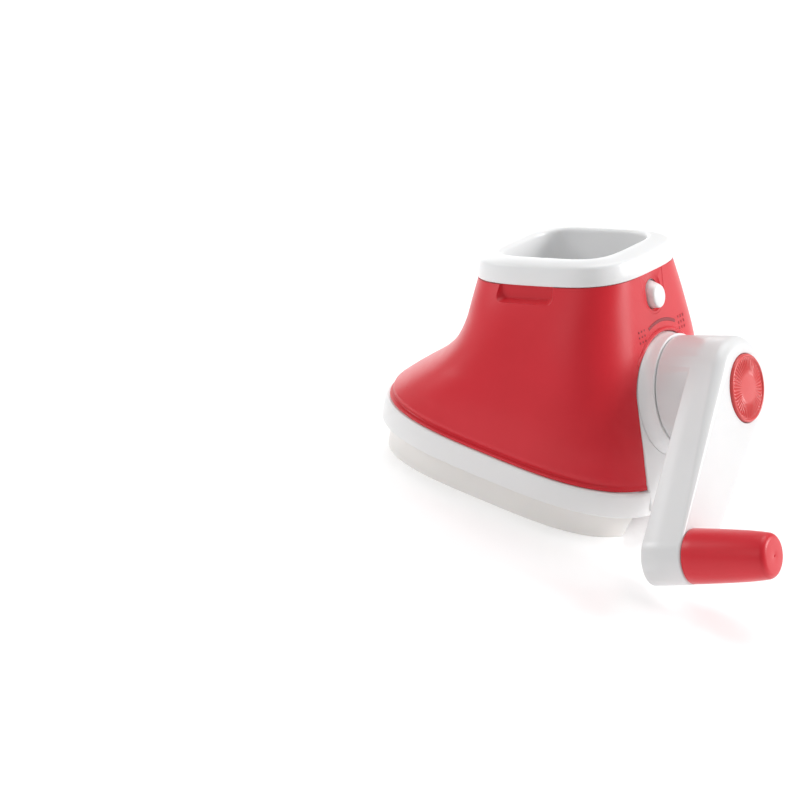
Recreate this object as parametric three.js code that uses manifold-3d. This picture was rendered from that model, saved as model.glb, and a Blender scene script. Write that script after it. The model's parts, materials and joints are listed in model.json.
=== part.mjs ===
// Rotary cheese grater: a hand-cranked cone grater that stands on a food container.
// Millimetres. +X runs from the toe to the crank, +Y to the side away from the crank arm, +Z up.
// The outermost group puts the origin at the middle of the base, under the whole object's box.
import * as THREE from "three";
import { mergeVertices } from "three/addons/utils/BufferGeometryUtils.js";
import Module from "manifold-3d";

const wasm = await Module();
wasm.setup();

// ---- Driving dimensions ----
const GAP = 0.3; // between faces that touch
const WALL = 2.4; // moulded wall thickness

// Crank axis: it rises towards the crank and pierces the flat heel of the housing at HEEL.
const AXIS_TILT = 22.3;
const HEEL_X = 70.9;
const HEEL_Z = 75.5;

// Base: a skirt that drops into the container, and the rim band above it.
const SKIRT = { centreX: 1.3, halfX: 86.6, halfY: 74, power: 3.46, top: 15, wall: 2.2, flange: 5 };
const RIM = {
  toeX: -93.7, heelX: 97, halfY: 78, power: 3.15,
  bottom: 15.3, top: 30, wall: 4, ledge: 12, ledgeTop: 19,
};

// Hopper: its top plane leans towards the toe.
const HOPPER_LEAN = 16.4;
const HOPPER_TOP = { x: -7.5, z: 141 };
const HOPPER = { half: 50.7, shoulder: 49, mouthX: 36.8, mouthY: 36.8, rimHeight: 13.9, drop: 3 };
const CHUTE = { halfX: 31, halfY: 23, depth: 96, wall: 2.2 };
const HOPPER_POWER = 3.3;
const MOUTH_ROOM = 3.2; // between the chute and the hole in the housing
const GRIP = { from: -24, to: 14, height: 10, depth: 40 };

// Housing outline from the lip up: toe end, heel height, half width, squareness, and how far
// the outline runs past the heel plane, which then cuts it flat.
const SHELL_SECTIONS = [
  { toeX: -91.2, toeZ: 30.3, heelZ: 30.3, halfY: 77.2, power: 3.1, overrun: 3 },
  { toeX: -91.4, toeZ: 32.4, heelZ: 32.4, halfY: 77.4, power: 3.1, overrun: 3 },
  { toeX: -90.2, toeZ: 33.4, heelZ: 33.4, halfY: 76.2, power: 3.1, overrun: 3 },
  { toeX: -89.6, toeZ: 36.6, heelZ: 37, halfY: 76.6, power: 3.1, overrun: 3 },
  { toeX: -84.6, toeZ: 42, heelZ: 44, halfY: 76, power: 3.1, overrun: 3 },
  { toeX: -79.6, toeZ: 47, heelZ: 53, halfY: 75.2, power: 3.15, overrun: 3 },
  { toeX: -73.9, toeZ: 52.5, heelZ: 64, halfY: 74, power: 3.15, overrun: 2.8 },
  { toeX: -67.6, toeZ: 58.5, heelZ: 75, halfY: 72.2, power: 3.2, overrun: 2.6 },
  { toeX: -60.8, toeZ: 66, heelZ: 87, halfY: 69.7, power: 3.2, overrun: 2.4 },
  { toeX: -54.2, toeZ: 76, heelZ: 101, halfY: 66.5, power: 3.25, overrun: 2 },
  { toeX: -51.3, toeZ: 88, heelZ: 115, halfY: 62.4, power: 3.25, overrun: 1.4 },
  { toeX: -51.3, toeZ: 100, heelZ: 128, halfY: 57.3, power: 3.3, overrun: 1 },
  { toeX: -52, toeZ: 113, heelZ: 141.6, halfY: 50.7, power: 3.3, overrun: 1 },
];

// Heel plate and collar, in the axis frame: x down the heel, y across, z out along the crank axis.
const PLATE = { archX: 34.4, halfY: 37.3, footX: 62, flare: 0.058 };
const COLLAR = { bore: 32, sleeveR: 31.6, outerR: 34.4, frontR: 32.4, front: 8 };

// Crank: hub behind, arm, and the boss that carries the knob.
const HUB = { back: 8.5, backR: 32, sideR: 30.4, front: 50, fillet: 8 };
const ARM = {
  reach: 117, angle: -52, wall: 3, endBackR: 17, endR: 16,
  slopeFrom: 22, endFront: 45, hubBack: 29, endBack: 27.5,
};
const BOSS = { r: 16, back: 28, front: 51.6 };
const CAP = { r: 19.7, seat: 48, top: 50.8 };
const KNOB = { baseR: 15.6, endR: 13, length: 50, fillet: 3.6, bore: 7.35, depth: 44 };
const SPINDLE_R = 7.1;

// Drum and shaft.
const SHAFT = { r: 6, back: -34, front: 38, square: 9 };
const BUSH = { bore: 6.15, r: 8.6, back: -4, front: 20 };
const DRUM = { frontR: 29, front: -14.3, back: -108, halfAngle: 5, sheet: 0.8 };
const HOLES = { rows: 4, around: 9, r: 3.4 };
const PIVOT = { r: 3.5, bore: 3.65, bushR: 6.4, from: -113, to: -122 };

// Release button, in the axis frame.
const BUTTON = { x: -56.6, r: 7, rise: 2.6, face: 2.4, back: -5.5, guideBack: -10.5, pocket: -2.2 };
const SPRING = { r: 4.4, wire: 0.35, turns: 2, low: -9.2, high: -5.8 };

const SCREWS = [[-60, 54], [-60, -54], [62, 58], [62, -58]];
const BRIDGE = { x: -40, halfX: 9, halfY: 64, bottom: 19.3, top: 23.5, tower: 42, screwIn: 5 };

const COLOURS = {
  red: { color: 0xb3202f, roughness: 0.45 },
  coral: { color: 0xe2484c, roughness: 0.4 },
  white: { color: 0xf0f0f0, roughness: 0.35 },
  offWhite: { color: 0xece8e0, roughness: 0.5 },
  grey: { color: 0xb8bbc0, roughness: 0.5 },
  steel: { color: 0xc8c9cc, roughness: 0.25, metalness: 1 },
};

// ---- Solids ----
const rad = THREE.MathUtils.degToRad;
const tan = (degrees) => Math.tan(rad(degrees));

function toSolid(geometry) {
  const bare = geometry.clone();
  for (const name of Object.keys(bare.attributes)) if (name !== "position") bare.deleteAttribute(name);
  const merged = mergeVertices(bare, 1e-4);
  const triVerts = new Uint32Array(merged.index.array);
  const vertProperties = new Float32Array(merged.attributes.position.array);
  return new wasm.Manifold(new wasm.Mesh({ numProp: 3, vertProperties, triVerts }));
}

function toGeometry(solid) {
  const mesh = solid.getMesh();
  const geometry = new THREE.BufferGeometry();
  geometry.setAttribute("position", new THREE.BufferAttribute(new Float32Array(mesh.vertProperties), 3));
  geometry.setIndex(new THREE.BufferAttribute(new Uint32Array(mesh.triVerts), 1));
  geometry.computeVertexNormals();
  return geometry;
}

// A closed solid through rings of equal length, each ring anticlockwise seen from its far end.
function loft(rings) {
  const count = rings[0].length;
  const centre = (ring) => ring.reduce((sum, p) => sum.add(p), new THREE.Vector3()).divideScalar(count);
  const points = [...rings.flat(), centre(rings[0]), centre(rings.at(-1))];
  const index = [];
  for (let r = 0; r + 1 < rings.length; r++) {
    for (let i = 0; i < count; i++) {
      const j = (i + 1) % count;
      const low = r * count;
      index.push(low + i, low + j, low + count + j, low + i, low + count + j, low + count + i);
    }
  }
  const last = (rings.length - 1) * count;
  for (let i = 0; i < count; i++) {
    const j = (i + 1) % count;
    index.push(points.length - 2, j, i, points.length - 1, last + i, last + j);
  }
  return new THREE.BufferGeometry().setFromPoints(points).setIndex(index);
}

// Rounded rectangle |x/a|^p + |y/b|^p = 1 at height z.
function roundedOutline(halfX, halfY, power, z = 0, centreX = 0, count = 32) {
  const bend = (v) => Math.sign(v) * Math.abs(v) ** (2 / power);
  return Array.from({ length: count }, (_, i) => {
    const turn = (2 * Math.PI * (i + 0.5)) / count;
    return new THREE.Vector3(centreX + halfX * bend(Math.cos(turn)), halfY * bend(Math.sin(turn)), z);
  });
}

// A turned solid about +Z; the profile lists [radius, height] pairs from low to high.
function turned(profile, segments = 24) {
  const geometry = new THREE.LatheGeometry(profile.map(([r, h]) => new THREE.Vector2(r, h)), segments);
  return geometry.rotateX(Math.PI / 2);
}

const rod = (r, from, to, segments = 24) => turned([[0, from], [r, from], [r, to], [0, to]], segments);

function tube(inner, outer, from, to, segments = 24) {
  return turned([[inner, from], [outer, from], [outer, to], [inner, to], [inner, from]], segments);
}

function box(x0, x1, y0, y1, z0, z1) {
  const geometry = new THREE.BoxGeometry(x1 - x0, y1 - y0, z1 - z0);
  return geometry.translate((x0 + x1) / 2, (y0 + y1) / 2, (z0 + z1) / 2);
}

function mesh(name, shape, finish) {
  const geometry = shape instanceof wasm.Manifold ? toGeometry(shape) : shape;
  const made = new THREE.Mesh(geometry, new THREE.MeshStandardMaterial(COLOURS[finish]));
  made.name = name;
  return made;
}

// ---- Frames ----
const axisFrame = new THREE.Matrix4()
  .makeRotationY(rad(90 - AXIS_TILT))
  .setPosition(HEEL_X, 0, HEEL_Z);
const hopperFrame = new THREE.Matrix4()
  .makeRotationY(rad(-HOPPER_LEAN))
  .setPosition(HOPPER_TOP.x, 0, HOPPER_TOP.z);
const hopperInAxis = axisFrame.clone().invert().multiply(hopperFrame);
const axisInHopper = hopperInAxis.clone().invert();

const heelX = (z) => HEEL_X - (z - HEEL_Z) * tan(AXIS_TILT);
const inAxis = (geometry) => toSolid(geometry.applyMatrix4(axisFrame));
const inHopper = (geometry) => toSolid(geometry.applyMatrix4(hopperFrame));

// Everything behind a plane across the crank axis, as a block in the housing's frame.
const behindHeel = (offset) => inAxis(box(-300, 300, -300, 300, -400, offset));

function group(matrix, ...meshes) {
  const made = new THREE.Group();
  made.applyMatrix4(matrix);
  made.add(...meshes);
  return made;
}

// ---- Base ----
function baseSkirt() {
  const { centreX, halfX, halfY, power, top, wall, flange } = SKIRT;
  const ring = (inset, z) => roundedOutline(halfX - inset, halfY - inset, power, z, centreX);
  const outside = toSolid(loft([ring(1.2, 0), ring(0.4, 0.8), ring(0, 2.4), ring(0, top)]));
  const inside = toSolid(loft([ring(wall, -1), ring(wall, top - 2.5)]));
  const mouth = toSolid(loft([ring(flange, -1), ring(flange, top + 1)]));
  let skirt = outside.subtract(inside).subtract(mouth).subtract(skirtArch());
  for (const [x, y] of SCREWS) {
    const headRoom = rod(4.6, 5, top + 1, 16).translate(x, y, 0);
    skirt = skirt.subtract(toSolid(headRoom));
  }
  return mesh("base_skirt", skirt, "offWhite");
}

// The wide arch that is cut out of the skirt's heel, under the crank.
function skirtArch() {
  const [near, far] = [50, 100];
  const rings = [-1, 0, 4, 8, 11, 13].map((z) => {
    const half = 47 - 6 * (Math.max(z, 0) / SKIRT.top) ** 1.5;
    const corners = [[near, -half], [far, -half], [far, half], [near, half]];
    return corners.map(([x, y]) => new THREE.Vector3(x, y, z));
  });
  return toSolid(loft(rings));
}

function rimRing(inset, z) {
  const halfX = (RIM.heelX - RIM.toeX) / 2 - inset;
  return roundedOutline(halfX, RIM.halfY - inset, RIM.power, z, (RIM.heelX + RIM.toeX) / 2);
}

// Outline of the heel plate: an arch round the collar that widens to a foot in the rim.
function plateOutline(grow, z, footX = PLATE.footX) {
  const halfY = PLATE.halfY + grow;
  const arch = Array.from({ length: 17 }, (_, i) => {
    const turn = Math.PI / 2 + (Math.PI * i) / 16;
    return new THREE.Vector3((PLATE.archX + grow) * Math.cos(turn), halfY * Math.sin(turn), z);
  });
  const foot = halfY + PLATE.flare * footX;
  return [...arch, new THREE.Vector3(footX, -foot, z), new THREE.Vector3(footX, foot, z)];
}

function baseFrame() {
  const { bottom, top, wall, ledge, ledgeTop } = RIM;
  const outside = loft([
    rimRing(1, bottom),
    rimRing(0, bottom + 1.2),
    rimRing(0, top - 1.2),
    rimRing(0.8, top),
  ]);
  const opening = toSolid(loft([rimRing(wall + ledge, bottom - 1), rimRing(wall + ledge, ledgeTop + 1)]));
  const recess = toSolid(loft([rimRing(wall, ledgeTop), rimRing(wall, top + 1)]));
  const seat = recess.intersect(behindHeel(-wall));
  const plate = inAxis(loft([plateOutline(0, -3), plateOutline(0, 0)]));
  const above = toSolid(box(-200, 200, -200, 200, ledgeTop, 200));
  let frame = toSolid(outside).intersect(behindHeel(0)).subtract(seat).subtract(opening);
  frame = frame.add(plate.intersect(above)).subtract(inAxis(rod(COLLAR.bore, -20, 5, 36)));
  for (const [x, y] of SCREWS) frame = frame.subtract(toSolid(rod(2, 10, 25, 12).translate(x, y, 0)));
  for (const y of [-1, 1]) {
    const hole = rod(1.6, 10, 25, 12).translate(BRIDGE.x, y * (BRIDGE.halfY - BRIDGE.screwIn), 0);
    frame = frame.subtract(toSolid(hole));
  }
  return mesh("base_frame", frame, "white");
}

// ---- Housing ----
function shellRing({ toeX, toeZ, heelZ, halfY, power, overrun }, inset = 0) {
  const toe = new THREE.Vector2(toeX + inset, toeZ);
  const heel = new THREE.Vector2(heelX(heelZ) + overrun - inset, heelZ);
  const half = heel.clone().sub(toe).divideScalar(2);
  const middle = toe.clone().add(half);
  return roundedOutline(1, halfY - inset, power).map(
    (p) => new THREE.Vector3(middle.x + half.x * p.x, p.y, middle.y + half.y * p.x),
  );
}

// The finger recess under one side of the hopper; grow adds a wall round it.
function gripRecess(side, grow, innerY) {
  const y0 = side * innerY - GRIP.depth * (side < 0);
  const floor = -HOPPER.rimHeight - GRIP.height - grow;
  return inHopper(box(GRIP.from - grow, GRIP.to + grow, y0, y0 + GRIP.depth, floor, 0));
}

function shellCavity() {
  const low = { ...SHELL_SECTIONS[0], toeZ: 20, heelZ: 20 };
  const sections = [low, ...SHELL_SECTIONS.filter((s, i) => i === 0 || i > 2)];
  const inside = toSolid(loft(sections.map((s) => shellRing(s, WALL))));
  const deck = inHopper(box(-200, 200, -200, 200, -HOPPER.rimHeight - GAP - WALL, 100));
  let cavity = inside.intersect(behindHeel(-WALL)).subtract(deck);
  for (const side of [-1, 1]) cavity = cavity.subtract(gripRecess(side, 3, 45.5));
  return cavity;
}

function outerShell() {
  const outside = toSolid(loft(SHELL_SECTIONS.map((s) => shellRing(s)))).intersect(behindHeel(0));
  const [mouthX, mouthY] = [HOPPER.mouthX + MOUTH_ROOM, HOPPER.mouthY + MOUTH_ROOM];
  const mouth = inHopper(loft([
    roundedOutline(mouthX, mouthY, HOPPER_POWER, -30),
    roundedOutline(mouthX, mouthY, HOPPER_POWER, 5),
  ]));
  let shell = outside.subtract(shellCavity()).subtract(mouth);
  for (const side of [-1, 1]) shell = shell.subtract(gripRecess(side, 0, 48));
  shell = shell.subtract(inAxis(loft([plateOutline(0.4, -20, 90), plateOutline(0.4, 10, 90)])));
  shell = shell.subtract(inAxis(buttonBody(0.5, -20, 10)));
  for (const [x, y] of SCREWS) shell = shell.add(shellPost(x, y, outside));
  return mesh("outer_shell", shell, "red");
}

// A screw post with a web that ties it to the wall behind it.
function shellPost(x, y, outside) {
  const [low, high] = [RIM.ledgeTop + GAP, 46];
  const turn = Math.atan2(y, x);
  const web = box(0, 22, -1.2, 1.2, 32, high).rotateZ(turn).translate(x, y, 0);
  const post = toSolid(rod(4, low, high, 16).translate(x, y, 0));
  const whole = post.add(toSolid(web).intersect(outside));
  return whole.subtract(toSolid(rod(1.5, low - 1, low + 14, 12).translate(x, y, 0)));
}

// ---- Hopper ----
function hopper() {
  const { half, shoulder, mouthX, mouthY, rimHeight, drop } = HOPPER;
  const ring = (a, b, z) => roundedOutline(a, b, HOPPER_POWER, z);
  const rim = toSolid(loft([
    ring(half, half - 0.2, -rimHeight),
    ring(shoulder + 0.5, shoulder + 0.3, -drop - 2),
    ring(shoulder, shoulder - 0.2, -drop),
    ring(shoulder - 1.4, shoulder - 1.6, -drop + 1.4),
    ring(mouthX + 4.5, mouthY + 4.5, -0.3),
    ring(mouthX + 2.5, mouthY + 2.5, 0),
  ]));
  const wall = CHUTE.wall;
  const chute = toSolid(loft([
    ring(CHUTE.halfX + wall, CHUTE.halfY + wall, -CHUTE.depth),
    ring(mouthX - 1 + wall, mouthY - 1.5 + wall, -rimHeight - 4),
    ring(mouthX + wall, mouthY + wall, -2),
  ]));
  const hollow = toSolid(loft([
    ring(CHUTE.halfX, CHUTE.halfY, -CHUTE.depth - 1),
    ring(mouthX - 1, mouthY - 1.5, -rimHeight - 4),
    ring(mouthX - 0.6, mouthY - 0.6, -3),
    ring(mouthX + 0.4, mouthY + 0.4, -1),
    ring(mouthX + 3, mouthY + 3, 1),
  ]));
  const underside = tubeBetween(shoulder - 1.8, mouthX + wall + 1, -rimHeight - 1, -rimHeight + 6);
  const below = box(-14, 200, -100, 100, -200, 100).applyMatrix4(axisInHopper);
  const solid = rim.add(chute).subtract(hollow).subtract(underside)
    .subtract(drumRoom()).subtract(toSolid(below));
  return mesh("hopper", solid, "white");
}

// The room that the turning drum sweeps through the chute's low end, in the hopper's frame.
function drumRoom() {
  const narrow = drumRadius(DRUM.back) + 1.6;
  return toSolid(turned([
    [0, DRUM.back - 30],
    [narrow, DRUM.back - 30],
    [narrow, DRUM.back],
    [DRUM.frontR + 2, DRUM.front],
    [DRUM.frontR + 4, DRUM.front + 12],
    [0, DRUM.front + 12],
  ], 28).applyMatrix4(axisInHopper));
}

// A moulding hollow between two rounded outlines.
function tubeBetween(outer, inner, from, to) {
  const ring = (half, z) => roundedOutline(half, half, HOPPER_POWER, z);
  return toSolid(loft([ring(outer, from), ring(outer, to)])).subtract(
    toSolid(loft([ring(inner, from - 1), ring(inner, to + 1)])),
  );
}

// ---- Collar cartridge ----
function bearingCollar() {
  const { sleeveR, outerR, frontR, front } = COLLAR;
  return turned([
    [BUSH.r + GAP, BUSH.back], [sleeveR, BUSH.back], [sleeveR, GAP], [outerR, GAP],
    [outerR, 1.6], [frontR + 0.6, front - 1], [frontR, front], [frontR - 2.4, front],
    [frontR - 3.4, 2], [12, 2], [12, 17], [BUSH.r + GAP, 17], [BUSH.r + GAP, BUSH.back],
  ], 36);
}

// ---- Crank ----
// Outline round two circles joined by their outer tangents: the arm seen along the crank axis.
function armOutline(hubR, endR, z, count = 28) {
  const lean = Math.acos((hubR - endR) / ARM.reach);
  const arc = (x, r, from, to, n) => Array.from({ length: n }, (_, i) => {
    const turn = from + ((to - from) * i) / (n - 1);
    return new THREE.Vector3(x + r * Math.cos(turn), r * Math.sin(turn), z);
  });
  const end = arc(ARM.reach, endR, -lean, lean, count / 2);
  return [...end, ...arc(0, hubR, lean, 2 * Math.PI - lean, count / 2)];
}

// A half space below or above a plane through two heights along the arm.
function slopeBlock(zAtHub, zAtEnd, side) {
  const slope = Math.atan((zAtEnd - zAtHub) / ARM.reach);
  const block = side > 0 ? box(-200, 300, -100, 100, 0, 200) : box(-200, 300, -100, 100, -200, 0);
  return toSolid(block.rotateY(-slope).translate(0, 0, zAtHub));
}

// Points [inset, height] up the quarter-round edge at the crank's front; steps are fractions of it.
const frontEdge = (steps) => steps.map((t) => {
  const turn = (Math.PI / 2) * t;
  return [HUB.fillet * (1 - Math.cos(turn)), HUB.front - HUB.fillet + HUB.fillet * Math.sin(turn)];
});

// The crank's outer form from back to front, with a quarter-round front edge.
function armBody(inset) {
  const { back, backR, sideR, front, fillet } = HUB;
  const ring = (hubR, endR, z) => armOutline(hubR - inset, endR - inset, z);
  const edge = frontEdge([0.25, 0.5, 0.75, 1]);
  return toSolid(loft([
    ring(backR, ARM.endBackR, back - 5),
    ring(backR, ARM.endBackR, back),
    ring(sideR, ARM.endR, front - fillet),
    ...edge.map(([cut, z]) => ring(sideR - cut, ARM.endR - 0.8 * cut, z)),
  ]));
}

function crankHub() {
  const { back, front, backR, sideR, fillet } = HUB;
  const side = toSolid(turned([
    [0, back], [backR - 0.6, back], [backR, back + 0.8], [sideR, front - fillet], [0, front - fillet],
  ], 28));
  const edge = frontEdge([0, 0.25, 0.5, 0.75, 1]).map(([cut, z]) => [sideR - cut, z]);
  return side.add(toSolid(turned([[0, front - fillet - 1], ...edge, [0, front]], 28)));
}

function knobBoss() {
  const { r, back, front } = BOSS;
  const profile = [[0, back], [r - 1, back], [r, back + 1], [r, front], [0, front]];
  return toSolid(turned(profile, 32).translate(ARM.reach, 0, 0));
}

// The moulding hollow in the crank's back, clear of the hub's core and the knob's boss.
function armHollow() {
  const { back, front, sideR } = HUB;
  return armBody(ARM.wall)
    .subtract(slopeBlock(front - 5, ARM.endFront - 3.5, 1))
    .subtract(slopeBlock(ARM.hubBack - 1, ARM.endBack - 1, -1))
    .subtract(toSolid(rod(BOSS.r + 1.5, 0, 80).translate(ARM.reach, 0, 0)))
    .add(toSolid(rod(sideR - ARM.wall, back - 4, front - 5, 28)))
    .subtract(toSolid(rod(12, 0, 80)));
}

function crankArm() {
  const { back, front } = HUB;
  const behind = toSolid(box(-100, 200, -100, 100, -100, back));
  const slope = (front - ARM.endFront) / (ARM.reach - ARM.slopeFrom);
  const blank = armBody(0)
    .subtract(slopeBlock(front + slope * ARM.slopeFrom, ARM.endFront, 1))
    .subtract(slopeBlock(ARM.hubBack, ARM.endBack, -1))
    .subtract(behind).add(crankHub()).add(knobBoss());
  const hubBores = [
    rod(13, 0, BUSH.front),
    rod(SHAFT.r + GAP, 0, SHAFT.front + GAP),
    rod(CAP.r + GAP, CAP.seat, front + 5, 28),
    rod(5, 41, front, 16),
    rod(2.6, 30, 45, 12),
  ];
  const endBores = [rod(4.3, 36, 60, 20), rod(4.6, 0, 31.6, 16), rod(2.2, 20, 60, 12)];
  const bores = [...hubBores, ...endBores.map((bore) => bore.translate(ARM.reach, 0, 0))];
  const arm = bores.reduce((solid, bore) => solid.subtract(toSolid(bore)), blank.subtract(armHollow()));
  return mesh("crank_arm", arm, "white");
}

function armBackCover() {
  const plate = armBody(ARM.wall + GAP)
    .subtract(slopeBlock(ARM.hubBack + 3, ARM.endBack + 3, 1))
    .subtract(slopeBlock(ARM.hubBack + 1, ARM.endBack + 1, -1))
    .subtract(toSolid(rod(BOSS.r + 1.5 + GAP, 0, 80, 40).translate(ARM.reach, 0, 0)))
    .subtract(toSolid(rod(HUB.backR + 0.4, 0, HUB.front, 48)));
  return mesh("arm_back_cover", plate, "white");
}

function hubCap() {
  const { r, seat, top } = CAP;
  return turned([
    [0, seat + GAP], [r, seat + GAP], [r, top - 0.5], [r - 0.6, top],
    [r - 1.4, top], [r - 1.9, top - 0.5], [0, top - 0.3],
  ], 28);
}

function knob() {
  const { baseR, endR, length, fillet, bore, depth } = KNOB;
  const corner = Array.from({ length: 4 }, (_, i) => {
    const turn = (Math.PI / 2) * (i / 3);
    return [endR - fillet + fillet * Math.cos(turn), length - fillet + fillet * Math.sin(turn)];
  });
  return turned([
    [0, depth], [bore, depth], [bore, 0], [baseR - 0.6, 0], [baseR, 0.8],
    ...corner, [0.7, length], [0, length - 0.6],
  ], 24);
}

// ---- Drum ----
const drumRadius = (z) => DRUM.frontR - (DRUM.front - z) * tan(DRUM.halfAngle);

function gratingDrum() {
  const { front, back, sheet } = DRUM;
  const [wide, narrow] = [drumRadius(front), drumRadius(back)];
  const drum = toSolid(turned([
    [narrow - sheet, back], [narrow, back], [wide, front], [wide - sheet, front],
    [narrow - sheet, back],
  ], 30));
  let cutters = null;
  for (let row = 0; row < HOLES.rows; row++) {
    const z = back + 12 + ((front - back - 24) * row) / (HOLES.rows - 1);
    for (let k = 0; k < HOLES.around; k++) {
      const turn = (2 * Math.PI * (k + (row % 2) / 2)) / HOLES.around;
      const hole = rod(HOLES.r, 10, 40, 6).rotateY(Math.PI / 2).rotateZ(turn);
      const cutter = toSolid(hole.translate(0, 0, z));
      cutters = cutters ? cutters.add(cutter) : cutter;
    }
  }
  return mesh("grating_drum", drum.subtract(cutters), "steel");
}

function drumHub() {
  const socket = toSolid(box(-4.65, 4.65, -4.65, 4.65, -60, 0));
  const rimR = DRUM.frontR + 0.6;
  const body = turned([[0, -34], [8, -34], [9, -14], [rimR, -14], [rimR, -10.5], [0, -10.5]], 30);
  return mesh("drum_hub", toSolid(body).subtract(socket), "white");
}

function drumRearRing() {
  const r = drumRadius(DRUM.back);
  const [low, high] = [-113, DRUM.back - GAP];
  let ring = toSolid(tube(r - 3, r + 0.4, low, high, 24)).add(toSolid(rod(6, low, high, 16)));
  for (const turn of [0, 120, 240]) {
    ring = ring.add(toSolid(box(0, r - 1, -1.5, 1.5, low, high).rotateZ(rad(turn))));
  }
  return mesh("drum_rear_ring", ring.add(toSolid(rod(PIVOT.r, PIVOT.to, low + 1))), "white");
}

function driveShaft() {
  const { r, back, front, square } = SHAFT;
  const flats = toSolid(box(-square / 2, square / 2, -square / 2, square / 2, back + GAP, -6));
  const shaft = toSolid(rod(r, -6.5, front)).add(flats).subtract(toSolid(rod(1.9, 20, front + 1, 16)));
  return mesh("drive_shaft", shaft, "steel");
}

// ---- Rear bearing ----
function bearingBridge() {
  const { x, halfX, halfY, bottom, top, tower, screwIn } = BRIDGE;
  const bar = toSolid(box(x - halfX, x + halfX, -halfY, halfY, bottom, top));
  const post = toSolid(box(x - halfX, x + halfX, -11, 11, bottom, tower));
  const front = inAxis(box(-300, 300, -300, 300, PIVOT.from - 1.5, 100));
  let bridge = bar.add(post).subtract(front).subtract(inAxis(rod(PIVOT.bushR + GAP, -140, 0)));
  for (const y of [-1, 1]) {
    bridge = bridge.subtract(toSolid(rod(1.9, 10, 40, 12).translate(x, y * (halfY - screwIn), 0)));
  }
  return mesh("bearing_bridge", bridge, "white");
}

// ---- Release button ----
const buttonMiddle = BUTTON.x - BUTTON.rise / 2;

// A round button whose upper end runs on up the heel; grow and the two heights set its size.
function buttonBody(grow, from, to) {
  const { x, r, rise } = BUTTON;
  const outline = (z) => {
    const arc = (cx, start) => Array.from({ length: 11 }, (_, i) => {
      const turn = start + (Math.PI * i) / 10;
      return new THREE.Vector3(cx + (r + grow) * Math.cos(turn), (r + grow) * Math.sin(turn), z);
    });
    return [...arc(x, -Math.PI / 2), ...arc(x - rise, Math.PI / 2)];
  };
  return loft([outline(from), outline(to)]);
}

function releaseButton() {
  const { face, back, pocket } = BUTTON;
  const ramp = box(-40, 0, -20, 20, 0, 30).rotateY(rad(30)).translate(BUTTON.x - 3, 0, face);
  const room = rod(SPRING.r + 0.8, back - 1, pocket).translate(buttonMiddle, 0, 0);
  const body = toSolid(buttonBody(0, back, face)).subtract(toSolid(ramp)).subtract(toSolid(room));
  return mesh("release_button", body, "white");
}

function buttonGuide() {
  const { x, rise, guideBack } = BUTTON;
  const block = toSolid(box(x - rise - 8.8, x + 8.8, -9.2, 9.2, guideBack, -WALL - GAP));
  const room = toSolid(buttonBody(0.5, guideBack + 1, 5));
  const slot = toSolid(box(x, x + 40, -2.6, 2.6, guideBack + 1, -WALL - 0.5));
  return mesh("button_guide", block.subtract(room).subtract(slot), "white");
}

function buttonCatch() {
  const x = BUTTON.x + BUTTON.r + GAP;
  return mesh("latch_catch", toSolid(box(x, x + 11, -2, 2, -5.2, -3.4)), "grey");
}

// A coil spring: a round wire along a helix.
function coilSpring({ r, wire, turns, low, high }) {
  const path = new THREE.CatmullRomCurve3(Array.from({ length: turns * 8 + 1 }, (_, i) => {
    const turn = (Math.PI * i) / 4;
    const z = low + wire + ((high - low - 2 * wire) * i) / (turns * 8);
    return new THREE.Vector3(r * Math.cos(turn), r * Math.sin(turn), z);
  }));
  const section = new THREE.Shape().absarc(0, 0, wire, 0, 2 * Math.PI);
  return new THREE.ExtrudeGeometry(section, { steps: turns * 8, curveSegments: 2, extrudePath: path });
}

function screw(name, headR, headHeight, shankR, length) {
  const head = [[0, -headHeight], [headR, -headHeight], [headR, 0]];
  const shank = [[shankR, 0], [shankR, length], [0, length]];
  return mesh(name, turned([...head, ...shank], 12), "steel");
}

function placed(made, x, y, z, flipped = false) {
  made.position.set(x, y, z);
  if (flipped) made.rotation.x = Math.PI;
  return made;
}

// The pin in the crank's boss that the knob turns on.
function knobSpindle() {
  const seat = BOSS.front + 0.1;
  const end = BOSS.front + 43.5;
  const pin = toSolid(turned([
    [0, BOSS.front - 15.5], [4, BOSS.front - 15.5], [4, seat], [SPINDLE_R, seat],
    [SPINDLE_R, end - 1.5], [SPINDLE_R - 1, end], [0, end],
  ], 24));
  const spindle = pin.subtract(toSolid(rod(1.6, 30, 50, 12))).translate([ARM.reach, 0, 0]);
  return mesh("knob_spindle", spindle, "white");
}

// ---- Assembly ----
const grater = new THREE.Group();
grater.add(baseSkirt(), baseFrame(), outerShell(), bearingBridge());
SCREWS.forEach(([x, y], i) => {
  grater.add(placed(screw(`shell_screw_${i + 1}`, 3.4, 2, 1.2, 14), x, y, RIM.bottom - GAP));
});
[-1, 1].forEach((side, i) => {
  const made = screw(`bridge_screw_${i + 1}`, 3.2, 2, 1.2, 7);
  grater.add(placed(made, BRIDGE.x, side * (BRIDGE.halfY - BRIDGE.screwIn), BRIDGE.top + GAP, true));
});
grater.add(group(hopperFrame, hopper()));

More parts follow.
